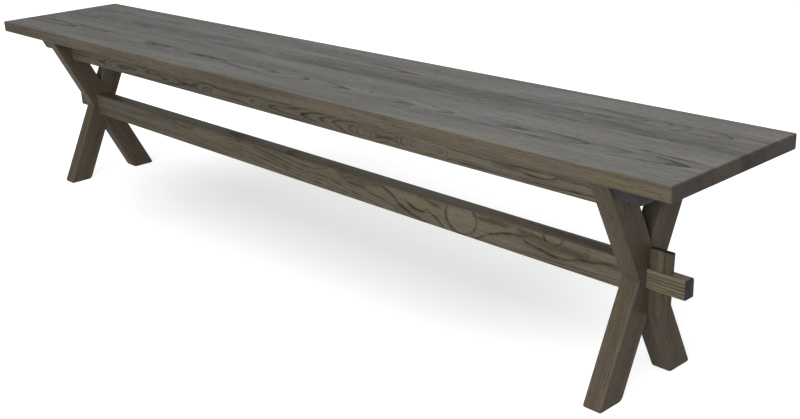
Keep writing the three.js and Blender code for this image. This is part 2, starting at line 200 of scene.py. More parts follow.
class BenchSizes(bpy.types.PropertyGroup):
    """Shaping of the bench's wooden pieces"""

    seat_ease: FloatProperty(
        name="Seat edge", description="Radius of the seat's outer edges",
        default=0.003, min=0.0005, max=0.01, **LENGTH)
    rail_ease: FloatProperty(
        name="Rail edge", description="Radius of the rails' long edges",
        default=0.0025, min=0.0005, max=0.008, **LENGTH)
    cleat_ease: FloatProperty(
        name="Cleat edge", description="Radius of the cleats' outer edges",
        default=0.002, min=0.0005, max=0.006, **LENGTH)
    cleat_corner: FloatProperty(
        name="Cleat corner", description="Radius of the cleats' low corners",
        default=0.004, min=0.001, max=0.01, **LENGTH)
    leg_width: FloatProperty(
        name="Leg width", description="Width of a leg, square to its length",
        default=0.057, min=0.03, max=0.1, **LENGTH)
    leg_ease: FloatProperty(
        name="Leg edge", description="Radius of the legs' long edges",
        default=0.0035, min=0.0005, max=0.008, **LENGTH)
    foot_round: FloatProperty(
        name="Foot corner", description="Radius of the two low corners of a foot",
        default=0.008, min=0.001, max=0.012, **LENGTH)
    foot_spread: FloatProperty(
        name="Foot spread", description="Distance between the middles of a trestle's two feet",
        default=0.203, min=0.1, max=0.4, **LENGTH)
    crossing_height: FloatProperty(
        name="Crossing height", description="Height of the middle of the legs' crossing",
        default=0.209, min=0.1, max=0.4, **LENGTH)
    stretcher_height: FloatProperty(
        name="Stretcher height", description="Height of the stretcher between the trestles",
        default=0.056, min=0.03, max=0.1, **LENGTH)
    stretcher_ease: FloatProperty(
        name="Stretcher edge", description="Radius of the stretcher's and the tenons' long edges",
        default=0.003, min=0.0005, max=0.008, **LENGTH)
    tenon_height: FloatProperty(
        name="Tenon height", description="Height of the stretcher's tenons",
        default=0.036, min=0.02, max=0.06, **LENGTH)
    tenon_thickness: FloatProperty(
        name="Tenon thickness", description="Thickness of the stretcher's tenons",
        default=0.024, min=0.01, max=0.04, **LENGTH)
    tenon_end_round: FloatProperty(
        name="Tenon end", description="Radius of the edges round a tenon's end",
        default=0.0085, min=0.001, max=0.011, **LENGTH)
    wedge_slope: FloatProperty(
        name="Wedge taper", description="How much wider a wedge is at its top than at its foot",
        default=0.0055, min=0.0, max=0.02, **LENGTH)
    wedge_corner: FloatProperty(
        name="Wedge corner", description="Radius of a wedge's four corners",
        default=0.002, min=0.0005, max=0.006, **LENGTH)
    wedge_ease: FloatProperty(
        name="Wedge edge", description="Radius of a wedge's long edges",
        default=0.001, min=0.0003, max=0.003, **LENGTH)
    joint_room: FloatProperty(
        name="Joint clearance", description="Clearance round laps, tenons, wedges and screws",
        default=0.0003, min=0.0001, max=0.001, **LENGTH)
    counterbore: FloatProperty(
        name="Counterbore", description="Diameter of the counterbores for the screw heads",
        default=0.015, min=0.012, max=0.02, **LENGTH)


class BenchColours(bpy.types.PropertyGroup):
    """Colours of the bench's stained and oiled wood"""

    seat_pale: FloatVectorProperty(
        name="Seat, pale", description="Colour of the seat's early wood",
        default=linear("#61594a"), **COLOUR)
    seat_dark: FloatVectorProperty(
        name="Seat, dark", description="Colour of the seat's growth lines",
        default=linear("#2f2a25"), **COLOUR)
    rail_pale: FloatVectorProperty(
        name="Rails, pale", description="Colour of the rails' early wood",
        default=linear("#787060"), **COLOUR)
    rail_dark: FloatVectorProperty(
        name="Rails, dark", description="Colour of the rails' growth lines",
        default=linear("#332f29"), **COLOUR)
    stretcher_pale: FloatVectorProperty(
        name="Stretcher, pale", description="Colour of the stretcher's early wood",
        default=linear("#7b7260"), **COLOUR)
    stretcher_dark: FloatVectorProperty(
        name="Stretcher, dark", description="Colour of the stretcher's growth lines",
        default=linear("#3e362b"), **COLOUR)
    cleat_pale: FloatVectorProperty(
        name="Cleats, pale", description="Colour of the cleats' early wood",
        default=linear("#504d4a"), **COLOUR)
    cleat_dark: FloatVectorProperty(
        name="Cleats, dark", description="Colour of the cleats' growth lines",
        default=linear("#2a2829"), **COLOUR)
    leg_pale: FloatVectorProperty(
        name="Legs, pale", description="Colour of the legs' early wood",
        default=linear("#5c5345"), **COLOUR)
    leg_dark: FloatVectorProperty(
        name="Legs, dark", description="Colour of the legs' growth lines",
        default=linear("#342c24"), **COLOUR)
    wedge_pale: FloatVectorProperty(
        name="Wedges, pale", description="Colour of the wedges' early wood",
        default=linear("#635b4d"), **COLOUR)
    wedge_dark: FloatVectorProperty(
        name="Wedges, dark", description="Colour of the wedges' growth lines",
        default=linear("#352c23"), **COLOUR)


# Shaping

def middle_of(node):
    """The middle of a CAD node in millimetres."""
    low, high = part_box(node)
    return (low + high) / 2 / MM


def named(words):
    """The CAD nodes whose names hold some words."""
    return [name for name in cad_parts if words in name]


def block(low, high):
    """A square-edged length of timber between two corners."""
    shape = bmesh.new()
    bmesh.ops.create_cube(shape, size=1)
    bmesh.ops.scale(shape, vec=Vector(high) - Vector(low), verts=shape.verts)
    bmesh.ops.translate(shape, vec=(Vector(high) + Vector(low)) / 2, verts=shape.verts)
    return shape


def saw(shape, point, away):
    """Cuts the timber on a plane, drops what lies on the away side and closes the cut."""
    everything = shape.verts[:] + shape.edges[:] + shape.faces[:]
    result = bmesh.ops.bisect_plane(
        shape, geom=everything, dist=HAIR / 10, plane_co=point, plane_no=away, clear_outer=True)
    rim = [part for part in result["geom_cut"] if isinstance(part, bmesh.types.BMEdge)]
    bmesh.ops.edgeloop_fill(shape, edges=rim)
    bmesh.ops.recalc_face_normals(shape, faces=shape.faces)


def ease(shape, edges, radius, steps=4):
    """Rounds chosen edges as a router or sandpaper would."""
    bmesh.ops.bevel(
        shape, geom=edges, offset=radius, offset_type="OFFSET", affect="EDGES",
        segments=steps, profile=0.5, material=-1, clamp_overlap=True)


def edges_along(shape, axis, height=None):
    """The edges parallel to an axis, or only those that lie no higher than a height."""
    def chosen(edge):
        span = edge.verts[0].co - edge.verts[1].co
        return abs(span[axis]) > max(HAIR, 0.999 * span.length) and (
            height is None or all(end.co.z < height + HAIR for end in edge.verts))

    return [edge for edge in shape.edges if chosen(edge)]


def face_rims(shape, axis, places, top=None):
    """The edges round the flat faces at places along an axis, but not those up at the top."""
    return [edge for place in places for edge in shape.edges
            if all(abs(end.co[axis] - place) < HAIR for end in edge.verts)
            and not (top and all(end.co.z > top - HAIR for end in edge.verts))]


def round_room(start, end, radius, sides=32):
    """A drill's room between two points."""
    start, end = Vector(start), Vector(end)
    shape = bmesh.new()
    turn = (end - start).to_track_quat("Z", "Y").to_matrix().to_4x4()
    bmesh.ops.create_cone(
        shape, cap_ends=True, cap_tris=False, segments=sides, radius1=radius, radius2=radius,
        depth=(end - start).length, matrix=Matrix.Translation((start + end) / 2) @ turn)
    return shape


def gathered(shapes):
    """Several shapes as one."""
    whole = bmesh.new()
    for shape in shapes:
        scratch = bpy.data.meshes.new("scratch")
        shape.to_mesh(scratch)
        shape.free()
        whole.from_mesh(scratch)
        bpy.data.meshes.remove(scratch)
    return whole


def add_object(name, shape):
    """Puts a shape into the scene under a name."""
    mesh = bpy.data.meshes.new(name)
    shape.to_mesh(mesh)
    shape.free()
    piece = bpy.data.objects.new(name, mesh)
    bpy.context.scene.collection.objects.link(piece)
    return piece


def carve(piece, tool_shape, operation="DIFFERENCE"):
    """Cuts, joins or trims a piece with another shape, and keeps only the result."""
    tool = add_object("carving_tool", tool_shape)
    cut = piece.modifiers.new("carve", "BOOLEAN")
    cut.solver = "EXACT"
    cut.use_self = True
    cut.operation = operation
    cut.object = tool
    bpy.context.view_layer.update()
    shaped = bpy.data.meshes.new_from_object(
        piece.evaluated_get(bpy.context.evaluated_depsgraph_get()))
    piece.modifiers.remove(cut)
    before, piece.data = piece.data, shaped
    bpy.data.meshes.remove(before)
    tool_mesh = tool.data
    bpy.data.objects.remove(tool)
    bpy.data.meshes.remove(tool_mesh)
    if not shaped.polygons:
        raise RuntimeError(f"carving {piece.name} left nothing")
    shaped.name = piece.name


def dress(piece, node, body, material):
    """Smooths a finished piece, gives it its finish and lets it stand for its CAD node."""
    mesh = piece.data
    tidy = bmesh.new()
    tidy.from_mesh(mesh)
    bmesh.ops.remove_doubles(tidy, verts=tidy.verts, dist=HAIR / 5)
    bmesh.ops.recalc_face_normals(tidy, faces=tidy.faces)
    tidy.to_mesh(mesh)
    tidy.free()
    mesh.polygons.foreach_set("use_smooth", [True] * len(mesh.polygons))
    mesh.set_sharp_from_angle(angle=SMOOTH_ANGLE)
    mesh.materials.clear()
    mesh.materials.append(material)
    shading = piece.modifiers.new("flat_faces", "WEIGHTED_NORMAL")
    shading.keep_sharp = True
    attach(piece, body)
    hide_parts(node)


def drilled_for_screws(words, sizes):
    """The holes for screws: a clearance hole through to the seat and a counterbore for the head."""
    shapes = []
    for name in named(words):
        low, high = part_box(name)
        x, y = (low.x + high.x) / 2, (low.y + high.y) / 2
        grip = low.z + SCREW_HEAD_HEIGHT
        shapes.append(round_room(
            (x, y, grip - DRILL_PAST), (x, y, high.z + DRILL_PAST),
            SCREW_SHANK_RADIUS + sizes.joint_room))
        shapes.append(round_room(
            (x, y, grip - COUNTERBORE_DEPTH), (x, y, grip), sizes.counterbore / 2))
    return shapes


def drilled_for_dowels(end):
    """The holes for one trestle's dowels."""
    shapes = []
    for name in sorted(name for name in named("_dowel_") if name.startswith(end)):
        low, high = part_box(name)
        y, z = (low.y + high.y) / 2, (low.z + high.z) / 2
        shapes.append(round_room(
            (low.x - DOWEL_END_ROOM, y, z), (high.x + DOWEL_END_ROOM, y, z),
            (high.z - low.z) / 2 + DOWEL_ROOM))
    return shapes


# Materials

SOFT = {"interpolation_type": "SMOOTHSTEP"}
# The fibres' shake in millimetres, and how much of its darkness the faintest ring of a piece
# keeps, and a ring that is out of the heart line's reach
SHAKE, FAINTEST_RING, OUT_OF_REACH = 2.4, 0.45, 0.22
# A drawn line's darkness from side to side, sharp on one of them, and from end to end
ACROSS_LINE = ((0, 0), (0.14, 0.09), (0.34, 0.32), (0.44, 0.85), (0.5, 1), (0.56, 0.75),
               (0.64, 0.14), (0.76, 0), (1, 0))
ALONG_LINE = ((0, 0), (0.09, 0.8), (0.2, 1), (0.8, 1), (0.91, 0.8), (1, 0))
# The stain's tint where the wood takes it least, and what it gains where it takes it most
TINT, TINT_GAIN = (0.92, 0.97, 1.17), (0.16, 0.06, -0.34)
# The real size in metres of a fleck in beech and of a cloud of spangle in zinc
FLECK_LENGTH, FLECK_WIDTH, SPANGLE_WIDTH = 0.004, 0.0006, 0.0015


def add_node(tree, kind, inputs=None, **values):
    """Adds a node, fills its inputs with numbers or other nodes' outputs and sets its values."""
    made = tree.nodes.new("ShaderNode" + kind)
    for key, value in values.items():
        if key == "stops":
            ramp = made.color_ramp
            while len(ramp.elements) < len(value):
                ramp.elements.new(1)
            for stop, (place, colour) in zip(ramp.elements, value):
                stop.position = place
                stop.color = (*colour, 1)
        elif key == "line":
            points = made.mapping.curves[0].points
            points[0].location, points[1].location = value[0], value[-1]
            for place in value[1:-1]:
                points.new(*place)
            made.mapping.update()
        else:
            setattr(made, key, value)
    for key, value in (inputs or {}).items():
        if isinstance(value, bpy.types.Node):
            value = value.outputs[0]
        if isinstance(value, bpy.types.NodeSocket):
            tree.links.new(value, made.inputs[key])
        else:
            made.inputs[key].default_value = value
    return made


def new_material(name):
    """An empty node material, and the function that puts nodes into it."""
    material = bpy.data.materials.new(name)
    material.use_nodes = True
    material.node_tree.nodes.clear()
    return material, partial(add_node, material.node_tree)


def streaks(put, place, long, wide, detail=2.0, rough=0.5):
    """Clouds drawn out along the fibres, of a length and a width in millimetres."""
    scaled = put("VectorMath", {0: place, 1: (1 / long, 1 / wide, 1 / wide)}, operation="MULTIPLY")
    return put("TexNoise", {"Vector": scaled, "Scale": 1.0, "Detail": detail, "Roughness": rough})


def follow(put, place, points, span=None):
    """How far a place is along a smooth curve through points, as a share, and its height there."""
    first, last = points[0][0], points[-1][0]
    low, high = span or (min(y for _, y in points), max(y for _, y in points))
    share = put("MapRange", {0: place, 1: first, 2: last})
    curve = put("FloatCurve", {"Value": share}, line=[
        ((x - first) / (last - first), (y - low) / (high - low)) for x, y in points])
    return share, put("Math", {0: curve, 1: high - low, 2: low}, operation="MULTIPLY_ADD")


def drawn(put, off, thinned, half_width, strength, inside, before):
    """A line's darkness beside its middle, sharp on one side, over what was drawn before."""
    off = put("Math", {0: off, 1: thinned}, operation="MULTIPLY")
    across = put("MapRange", {0: off, 1: -4 * half_width, 2: 4 * half_width})
    share = put("FloatCurve", {"Value": across}, line=ACROSS_LINE)
    for part in (strength, inside):
        share = put("Math", {0: share, 1: part}, operation="MULTIPLY")
    return put("Math", {0: share, 1: before}, operation="MAXIMUM")


def brushed_ash(name, pale, dark, fibres, middle, heart, ring, line_strength, drift=None,
                lines=(), eyes=(), line_breadth=0.0, patch_strength=0.3, streak_strength=0.35,
                pore_strength=0.4, grain=(110, 1.5), pores=(24, 1.2), wobble=3.0, band=None,
                roughness=0.55, end_stain=(0.9, 0.9, 0.95), painted_sheen=None, shown_rings=1.0,
                reach=None, shade=None):
    """Ash, sawn flat and brushed, then stained grey-brown and oiled.

    To the eye: dark growth lines whose open pores hold the stain, on a paler ground, with short
    dark dashes along the fibres, slow changes of tone and a satin sheen. The rings are solid
    shells round the tree's heart, so the pattern goes round every edge.

    Fibres are the directions along and across the show face. Lengths are millimetres from the
    piece's middle: heart is where the tree's middle lies across and behind the show face, ring is
    the spacing of the growth rings, and wobble is how far the fibres wander. Lines and eyes are
    drawn on the show face, where the rings keep the share shown_rings. Reach says how far from the
    heart line the rings stay clear and where they are faint. Grain and pores are the length and
    the width of a streak and of a pore. Shade scales the colour at places along the piece: painted
    shade for the lamps' falloff on the rails and the stretcher, and a darker foot on the wedges.
    Band is a strip of another stain: its two edges, how soft they are, its colour and strength.
    """
    material, put = new_material(name)
    along, across = Vector(fibres[0]).normalized(), Vector(fibres[1]).normalized()
    turn = Matrix((along, across, along.cross(across)))
    place = put("TexCoord")
    wood = put("Mapping", {
        0: place.outputs["Object"], 1: -(turn @ Vector(middle)), 2: turn.to_euler("XYZ"),
        3: (1 / MM,) * 3})
    apart = put("SeparateXYZ", {0: wood})

    # The fibres wander a few millimetres over a hand's breadth, and a little over a thumb's
    slow = streaks(put, wood, 260, 70, 1.5, 0.45)
    quick = streaks(put, wood, 45, 14, 3.5, 0.6)
    shaken = put("VectorMath", {
        0: quick.outputs["Color"], 1: (0, SHAKE, SHAKE), 2: wood}, operation="MULTIPLY_ADD")
    wandered = put("VectorMath", {
        0: slow.outputs["Color"], 1: (0, 2 * wobble, 2 * wobble), 2: shaken},
        operation="MULTIPLY_ADD")

    # Growth rings
    shift = wobble + SHAKE / 2
    from_heart = put("VectorMath", {
        0: wandered, 1: (0, 1 / ring, 1 / ring),
        2: (0, -(heart[0] + shift) / ring, -(heart[1] + shift) / ring)}, operation="MULTIPLY_ADD")
    rings = put("VectorMath", {0: from_heart}, operation="LENGTH").outputs["Value"]
    if drift:
        rings = put("Math", {0: rings, 1: follow(put, apart, drift)[1]}, operation="ADD")
    # Each ring darkens slowly, then ends sharply. No two are equally dark.
    season = put("Math", {0: rings}, operation="FRACT")
    year = put("Math", {0: rings}, operation="FLOOR")
    late = put("FloatCurve", {"Value": season}, line=(
        (0, 0.42), (0.09, 0.05), (0.35, 0.0), (0.6, 0.12 + 0.4 * line_breadth),
        (0.8, 0.5 + 0.4 * line_breadth), (0.93, 1.0), (1, 0.75)))
    luck = put("TexWhiteNoise", {"W": year}, noise_dimensions="1D")
    depth = put("MapRange", {0: luck, 3: FAINTEST_RING * line_strength, 4: line_strength})
    fading = put("MapRange", {0: streaks(put, wood, 90, 20), 1: 0.32, 2: 0.6, 3: 0.25, 4: 1.05})
    line = put("Math", {0: late, 1: depth}, operation="MULTIPLY")
    line = put("Math", {0: line, 1: fading}, operation="MULTIPLY")
    if reach:
        beside = put("Math", {0: apart.outputs[1], 1: heart[0]}, operation="SUBTRACT")
        beside = put("Math", {0: beside}, operation="ABSOLUTE")
        clear = put("MapRange", {
            0: beside, 1: reach[0], 2: reach[1], 3: 1, 4: OUT_OF_REACH}, **SOFT)
        line = put("Math", {0: line, 1: clear}, operation="MULTIPLY")

    # Bold lines and eyes on the show face. They swell and thin out along their way.
    if lines or eyes:
        shown = put("VectorMath", {
            0: place.outputs["Normal"], 1: along.cross(across)}, operation="DOT_PRODUCT")
        shown = put("MapRange", {0: shown.outputs["Value"], 1: 0.5, 2: 0.9}, **SOFT)
        near = put("SeparateXYZ", {0: shaken})
        level = put("Math", {0: near.outputs[1], 1: SHAKE / 2}, operation="SUBTRACT")
        thinned = put("MapRange", {0: quick, 1: 0.34, 2: 0.66, 3: 1.7, 4: 0.75})
        bold = 0.0
        for points, half_width, strength in lines:
            share, height = follow(put, near, points)
            off = put("Math", {0: level, 1: height}, operation="SUBTRACT")
            inside = put("FloatCurve", {"Value": share}, line=ALONG_LINE)
            bold = drawn(put, off, thinned, half_width, strength, inside, bold)
        for at_along, at_across, long, wide, half_width, strength in eyes:
            off = put("VectorMath", {
                0: shaken, 1: (1 / long, 1 / wide, 0),
                2: (-at_along / long, -(at_across + SHAKE / 2) / wide, 0)},
                operation="MULTIPLY_ADD")
            far = put("VectorMath", {0: off}, operation="LENGTH").outputs["Value"]
            off = put("Math", {0: far, 1: -wide, 2: wide}, operation="MULTIPLY_ADD")
            bold = drawn(put, off, thinned, half_width, strength, shown, bold)
        bold = put("Math", {0: bold, 1: shown}, operation="MULTIPLY")
        broken = put("MapRange", {0: quick, 1: 0.35, 2: 0.6, 3: 0.55})
        bold = put("Math", {0: bold, 1: broken}, operation="MULTIPLY")
        faint = put("MapRange", {0: shown, 3: 1, 4: shown_rings})
        faint = put("Math", {0: line, 1: faint}, operation="MULTIPLY")
        line = put("Math", {0: bold, 1: faint}, operation="MAXIMUM")

    # End grain takes the stain more evenly
    facing = put("VectorMath", {0: place.outputs["Normal"], 1: along}, operation="DOT_PRODUCT")
    facing = put("Math", {0: facing.outputs["Value"]}, operation="ABSOLUTE")
    end = put("MapRange", {0: facing, 1: 0.08, 2: 0.45}, **SOFT)
    even = put("MapRange", {0: end, 3: 1, 4: 0.45})
    line = put("Math", {0: line, 1: even}, operation="MULTIPLY")

    # Fibre streaks, and pores that lie thickest in the growth lines. Real ones are some 0.3 mm
    # wide, and these are 1.2 mm and more, to show in the frame.
    streak = streaks(put, wandered, *grain, 3.0, 0.65)
    pore = streaks(put, shaken, *pores, 2.0, 0.6)
    open_pore = put("MapRange", {0: pore, 1: 0.52, 2: 0.68, 4: pore_strength}, **SOFT)
    crowd = put("MapRange", {0: line, 3: 0.45, 4: 1.3})
    open_pore = put("Math", {0: open_pore, 1: crowd}, operation="MULTIPLY")
    dark_share = put("Math", {0: line, 1: open_pore}, operation="ADD", use_clamp=True)

    # Pale and dark patches, then the lines over them, then the streaks' change of tone
    patch = put("MapRange", {
        0: streaks(put, wandered, 420, 26, 3.0, 0.55), 1: 0.35, 2: 0.68, 4: patch_strength})
    colour = (*pale, 1)
    for share in (patch, dark_share):
        colour = put("Mix", {0: share, 6: colour, 7: (*dark, 1)}, data_type="RGBA").outputs[2]
    tone = put("MapRange", {
        0: streak, 1: 0.3, 2: 0.7, 3: 1 - streak_strength / 2, 4: 1 + streak_strength / 2})
    colour = put("VectorMath", {0: colour, "Scale": tone}, operation="SCALE")

    # The stain takes a little more purple in one place and more ochre in another
    tint = put("VectorMath", {
        0: streaks(put, wandered, 120, 22, 1.5), 1: TINT_GAIN, 2: TINT}, operation="MULTIPLY_ADD")
    colour = put("VectorMath", {0: colour, 1: tint}, operation="MULTIPLY")
    # Shade scales the colour along the piece: painted shade on the rails and stretcher, a darker
    # foot on the wedges
    if shade:
        tone = follow(put, apart, shade, (0, 1))[1]
        colour = put("VectorMath", {0: colour, "Scale": tone}, operation="SCALE")

    # Further stains: where each is taken up, and its colour
    stains = []
    if band:
        low_edge, high_edge, soft, band_stain, strength = band
        rise = put("MapRange", {
            0: apart.outputs[1], 1: low_edge - soft, 2: low_edge + soft, 4: strength}, **SOFT)
        fall = put("MapRange", {
            0: apart.outputs[1], 1: high_edge - soft, 2: high_edge + soft, 3: 1, 4: 0}, **SOFT)
        both = put("Math", {0: rise, 1: fall}, operation="MULTIPLY")
        both = put("Math", {0: both, 1: fading}, operation="MULTIPLY")
        stains.append((both, linear(band_stain)))
    # Painted sheen: the upward faces are made lighter and bluish grey, in the place of the white
    # surroundings' reflection seen at a grazing view
    if painted_sheen:
        upward = put("SeparateXYZ", {0: place.outputs["Normal"]}).outputs[2]
        upward = put("MapRange", {0: upward, 1: 0.3, 2: 0.9}, **SOFT)
        stains.append((upward, painted_sheen))
    # End grain drinks more of the stain, and greyer
    stains.append((end, end_stain))
    for share, stain in stains:
        colour = put("Mix", {0: share, 6: colour, 7: (*stain, 1)},
                     data_type="RGBA", blend_type="MULTIPLY").outputs[2]

    # Pores and soft wood lie low and dull
    relief = put("Math", {0: dark_share, 1: -0.7, 2: streak}, operation="MULTIPLY_ADD")
    bump = put("Bump", {"Strength": 0.35, "Distance": 0.0004, "Height": relief})
    rough = put("Math", {0: dark_share, 1: 0.3, 2: roughness - 0.06}, operation="MULTIPLY_ADD")
    shader = put("BsdfPrincipled", {
        "Base Color": colour, "Roughness": rough, "IOR": 1.46, "Specular IOR Level": 0.07,
        "Normal": bump})
    put("OutputMaterial", {0: shader})
    return material


def turned_beech():
    """Beech, turned and left bare: a pale pinkish tan with short dark flecks, quite matt."""
    material, put = new_material("turned_beech")
    fine = put("Mapping", {
        0: put("TexCoord").outputs["Object"],
        3: (1 / FLECK_LENGTH, 1 / FLECK_WIDTH, 1 / FLECK_WIDTH)})
    fleck = put("TexNoise", {"Vector": fine, "Scale": 1.0, "Detail": 2.0})
    tone = put("ValToRGB", {0: fleck}, stops=(
        (0.32, linear("#a9834f")), (0.45, linear("#c9a878")), (0.75, linear("#d6b98c"))))
    bump = put("Bump", {"Strength": 0.2, "Distance": 0.0001, "Height": fleck})
    shader = put("BsdfPrincipled", {
        "Base Color": tone, "Roughness": 0.7, "IOR": 1.5, "Normal": bump})
    put("OutputMaterial", {0: shader})
    return material


def zinc_plate():
    """Bright zinc on steel: a pale bluish metal whose sheen is broken by faint cloudy spangle."""
    material, put = new_material("bright_zinc_plate")
    fine = put("Mapping", {0: put("TexCoord").outputs["Object"], 3: (1 / SPANGLE_WIDTH,) * 3})
    spangle = put("TexNoise", {"Vector": fine, "Scale": 1.0, "Detail": 3.0})
    tone = put("ValToRGB", {0: spangle}, stops=(
        (0.3, linear("#a3a6aa")), (0.7, linear("#c3c6ca"))))
    rough = put("MapRange", {0: spangle, 1: 0.3, 2: 0.7, 3: 0.28, 4: 0.42})
    shader = put("BsdfPrincipled", {"Base Color": tone, "Metallic": 1.0, "Roughness": rough})
    put("OutputMaterial", {0: shader})
    return material


# Pieces

class BENCH_OT_seat_boards(bpy.types.Operator):
    """Makes the two boards of the seat, glued edge to edge"""

    bl_idname = "bench.seat_boards"
    bl_label = "Seat boards"

    def execute(self, context):
        sizes, colours = context.scene.bench_sizes, context.scene.bench_colours
        for name, node, drift, lines, tip_line, line_strength, band in (
                ("front_seat_board", "seat_board_front", FRONT_SEAT_DRIFT, FRONT_SEAT_LINES, -87,
                 0.8, None),
                ("back_seat_board", "seat_board_back", BACK_SEAT_DRIFT, BACK_SEAT_LINES, 82,
                 0.6, (-85, -38, 14, "#9c9aa8", 0.55))):
            low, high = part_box(node)
            glue_line = min(low.y, high.y, key=abs)
            board = block(low, high)
            ease(board, [edge for edge in board.edges
                         if any(abs(end.co.y - glue_line) > HAIR for end in edge.verts)],
                 sizes.seat_ease, steps=5)
            piece = add_object(name, board)
            carve(piece, gathered(drilled_for_screws("_screw_", sizes)))
            middle = middle_of(node)
            # Painted sheen lightens the boards' tops to a bluish grey
            timber = brushed_ash(
                f"{name}_ash_with_painted_sheen", colours.seat_pale, colours.seat_dark, ALONG_BENCH, middle,
                heart=(tip_line - middle.y, -22), ring=6.0, drift=drift, lines=lines,
                line_strength=line_strength, patch_strength=0.45, streak_strength=0.45,
                pore_strength=0.75, pores=(14, 2.0), wobble=2.5, band=band, roughness=0.62,
                painted_sheen=(1.31, 1.51, 1.94), reach=(8, 34), end_stain=(0.72, 0.72, 0.8))
            dress(piece, node, "frame", timber)
        return {"FINISHED"}


class BENCH_OT_rails(bpy.types.Operator):
    """Makes the two rails that run under the seat between the trestles"""

    bl_idname = "bench.rails"
    bl_label = "Rails"

    def execute(self, context):
        sizes, colours = context.scene.bench_sizes, context.scene.bench_colours
        for name, node in (("front_seat_rail", "front_rail"), ("back_seat_rail", "back_rail")):
            rail = block(*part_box(node))
            ease(rail, edges_along(rail, 0), sizes.rail_ease)
            piece = add_object(name, rail)
            holes = drilled_for_screws("rail_screw_", sizes)
            for end, _ in ENDS:
                holes += drilled_for_dowels(end)
            carve(piece, gathered(holes))
            # Their shade is painted shade: darker over the far end and the middle, lighter towards
            # the near end, for the lamps' falloff
            timber = brushed_ash(
                f"{name}_brown_ash", colours.rail_pale, colours.rail_dark, ALONG_BENCH_FRONT,
                middle_of(node), heart=(-19, -15), ring=2.5, drift=RAIL_DRIFT, lines=RAIL_LINES,
                line_strength=0.86, line_breadth=0.25, patch_strength=0.4, streak_strength=0.45,
                wobble=3.3, shade=((-912, 0.77), (150, 0.78), (400, 0.97), (912, 0.98)))
            dress(piece, node, "frame", timber)
        return {"FINISHED"}


def leg_run(sizes):
    """How far a leg goes sideways for each metre that it rises."""
    return sizes.foot_spread / 2 / sizes.crossing_height


class BENCH_OT_cleats(bpy.types.Operator):
    """Makes the cleats across the outer faces of the leg tops"""

    bl_idname = "bench.cleats"
    bl_label = "Cleats"

    def execute(self, context):
        sizes, colours = context.scene.bench_sizes, context.scene.bench_colours
        run = leg_run(sizes)
        for end, side in ENDS:
            node = f"{end}_cleat"
            low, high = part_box(node)
            cleat = block(low, high)
            saw(cleat, (0, high.y, high.z), (0, 1, -run))
            saw(cleat, (0, low.y, high.z), (0, -1, -run))
            ease(cleat, edges_along(cleat, 0, low.z), sizes.cleat_corner, steps=6)
            outer = high.x if side > 0 else low.x
            ease(cleat, face_rims(cleat, 0, (outer,), high.z), sizes.cleat_ease)
            piece = add_object(f"{end}_leg_cleat", cleat)
            carve(piece, gathered(
                drilled_for_screws("cleat_screw_", sizes) + drilled_for_dowels(end)))
            # Their end grain is stained darker than other pieces', partly as painted shade for the
            # ends that face down under the seat
            timber = brushed_ash(
                f"{end}_cleat_brown_ash", colours.cleat_pale, colours.cleat_dark, ACROSS_BENCH,
                middle_of(node), heart=(12, -34), ring=3.2, line_strength=0.7,
                end_stain=(0.6, 0.6, 0.64))
            dress(piece, node, "frame", timber)
        return {"FINISHED"}


def leaning_bar(lean, low_x, high_x, width, sizes):
    """A square-edged bar at a leg's slope through the crossing, with its top back if lean is 1."""
    bar = block((low_x, -width / 2, -BAR_HALF), (high_x, width / 2, BAR_HALF))
    tilt = Matrix.Rotation(-lean * atan(leg_run(sizes)), 3, "X")
    bmesh.ops.rotate(bar, verts=bar.verts, cent=(0, 0, 0), matrix=tilt)
    bmesh.ops.translate(bar, verts=bar.verts, vec=(0, 0, sizes.crossing_height))
    return bar


